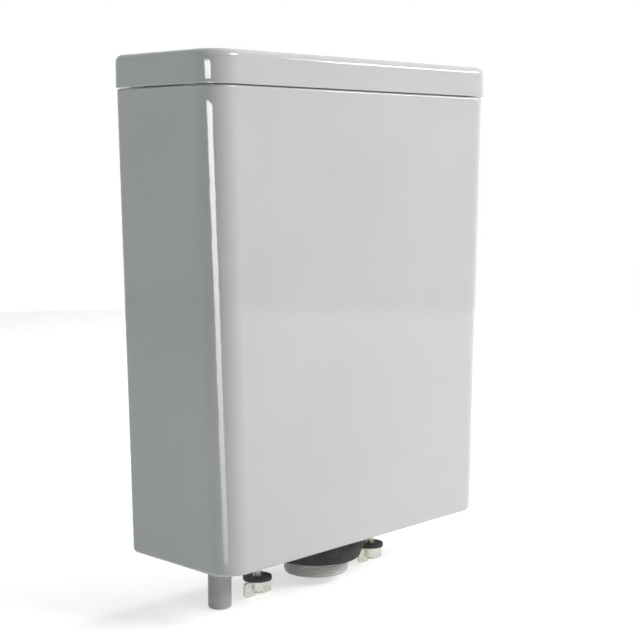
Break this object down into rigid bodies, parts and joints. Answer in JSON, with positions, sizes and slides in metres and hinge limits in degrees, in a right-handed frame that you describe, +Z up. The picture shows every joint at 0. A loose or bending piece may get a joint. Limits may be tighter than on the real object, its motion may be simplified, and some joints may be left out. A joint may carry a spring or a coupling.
{
  "type": "toilet cistern",
  "caption": "Close-coupled china cistern with lift-off lid, dual push button, flush valve and bottom-entry fill valve.",
  "frame": {"origin": "on the outlet's axis, in the plane of the tank's underside, midway between the pan bolts", "axes": "+Z up, +Y to the wall behind the tank, the tank's front faces -Y, +X to the right seen from the front"},
  "size_m": [0.36, 0.126, 0.478],
  "materials": {
    "tank_china": "gloss white glaze",
    "lid_china": "gloss white glaze",
    "pad_rubber": "soft translucent",
    "chromed_plastic": "polished",
    "button_chrome": "polished",
    "foam_gasket": "foam",
    "white_plastic": "moulded",
    "rod_plastic": "moulded",
    "spring_steel": "drawn wire",
    "black_rubber": "matte",
    "doughnut_rubber": "closed-cell sponge",
    "clear_plastic": "translucent",
    "blue_plastic": "moulded",
    "steel_pin": "ground",
    "rocker_plastic": "moulded acetal",
    "seal_rubber": "silicone",
    "grey_plastic": "moulded",
    "filter_plastic": "moulded",
    "zinc_steel": "zinc plated"
  },
  "bodies": {
    "cistern": {"tank": "tank_china", "valve_base": "white_plastic", "basket_posts": "white_plastic", "valve_basket": "white_plastic", "base_seal": "black_rubber", "tail_backnut": "white_plastic", "doughnut_seal": "doughnut_rubber", "valve_column": "clear_plastic", "valve_head": "blue_plastic", "rocker_pin": "steel_pin", "fill_valve_shank": "white_plastic", "fill_riser": "white_plastic", "inlet_washer": "black_rubber", "inlet_backnut": "white_plastic", "inlet_filter": "filter_plastic", "fill_valve_head": "blue_plastic", "fill_diaphragm": "seal_rubber", "fill_valve_cap": "grey_plastic", "float_arm_pin": "steel_pin", "coupling_bolts": "zinc_steel", "bolt_head_washers": "zinc_steel", "bolt_cone_seals": "black_rubber", "pan_rubber_washers": "black_rubber", "pan_steel_washers": "zinc_steel", "wing_nuts": "zinc_steel"},
    "lid_assembly": {"lid": "lid_china", "lid_pads": "pad_rubber", "button_bezel": "chromed_plastic", "bezel_gasket": "foam_gasket", "bezel_nut": "white_plastic"},
    "full_button": {"full_flush_button": "button_chrome", "full_push_rod": "rod_plastic", "full_button_spring": "spring_steel"},
    "half_button": {"half_flush_button": "button_chrome", "half_push_rod": "rod_plastic", "half_button_spring": "spring_steel"},
    "full_rocker": {"full_flush_rocker": "rocker_plastic"},
    "half_rocker": {"half_flush_rocker": "rocker_plastic"},
    "flush_plug": {"lift_tube": "white_plastic", "plug_disc": "white_plastic", "seat_seal": "seal_rubber", "seal_retainer": "blue_plastic", "lift_yoke": "blue_plastic"},
    "half_float": {"half_flush_float": "grey_plastic", "half_flush_link": "grey_plastic"},
    "fill_float": {"float_cup": "blue_plastic", "adjusting_rod": "rod_plastic", "adjusting_clip": "grey_plastic"},
    "fill_arm": {"float_arm": "rocker_plastic", "pilot_seal": "seal_rubber"}
  },
  "joints": [
    {"name": "lid_lift", "type": "slide", "parent": "cistern", "child": "lid_assembly", "axis": [0, 0, 1], "range_m": [0, 0.2]},
    {"name": "full_button_press", "type": "slide", "parent": "lid_assembly", "child": "full_button", "axis": [0, 0, -1], "range_m": [0, 0.006], "stiffness_N_per_m": 300, "springref_m": -0.004, "deforming": ["full_button_spring"]},
    {"name": "half_button_press", "type": "slide", "parent": "lid_assembly", "child": "half_button", "axis": [0, 0, -1], "range_m": [0, 0.006], "stiffness_N_per_m": 300, "springref_m": -0.004, "deforming": ["half_button_spring"]},
    {"name": "full_rocker_turn", "type": "hinge", "parent": "cistern", "child": "full_rocker", "pos_m": [0, 0, 0.338], "axis": [0, 1, 0], "range_deg": [0, 26.49]},
    {"name": "half_rocker_turn", "type": "hinge", "parent": "cistern", "child": "half_rocker", "pos_m": [0, 0, 0.338], "axis": [0, -1, 0], "range_deg": [0, 26.49]},
    {"name": "flush_plug_lift", "type": "slide", "parent": "cistern", "child": "flush_plug", "axis": [0, 0, 1], "range_m": [0, 0.01017]},
    {"name": "half_float_lift", "type": "slide", "parent": "cistern", "child": "half_float", "axis": [0, 0, 1], "range_m": [0, 0.01017]},
    {"name": "fill_float_rise", "type": "slide", "parent": "cistern", "child": "fill_float", "axis": [0, 0, 1], "range_m": [0, 0.01]},
    {"name": "fill_arm_swing", "type": "hinge", "parent": "cistern", "child": "fill_arm", "pos_m": [-0.118, 0, 0.32], "axis": [0, -1, 0], "range_deg": [0, 16.9]}
  ],
  "couplings": [
    {"joint": "full_rocker_turn", "follows": "full_button_press", "rad_per_m": 76.923},
    {"joint": "flush_plug_lift", "follows": "full_button_press", "ratio": 1.6923},
    {"joint": "half_rocker_turn", "follows": "half_button_press", "rad_per_m": 76.923},
    {"joint": "half_float_lift", "follows": "half_button_press", "ratio": 1.6923},
    {"joint": "fill_arm_swing", "follows": "fill_float_rise", "rad_per_m": 29.412}
  ]
}
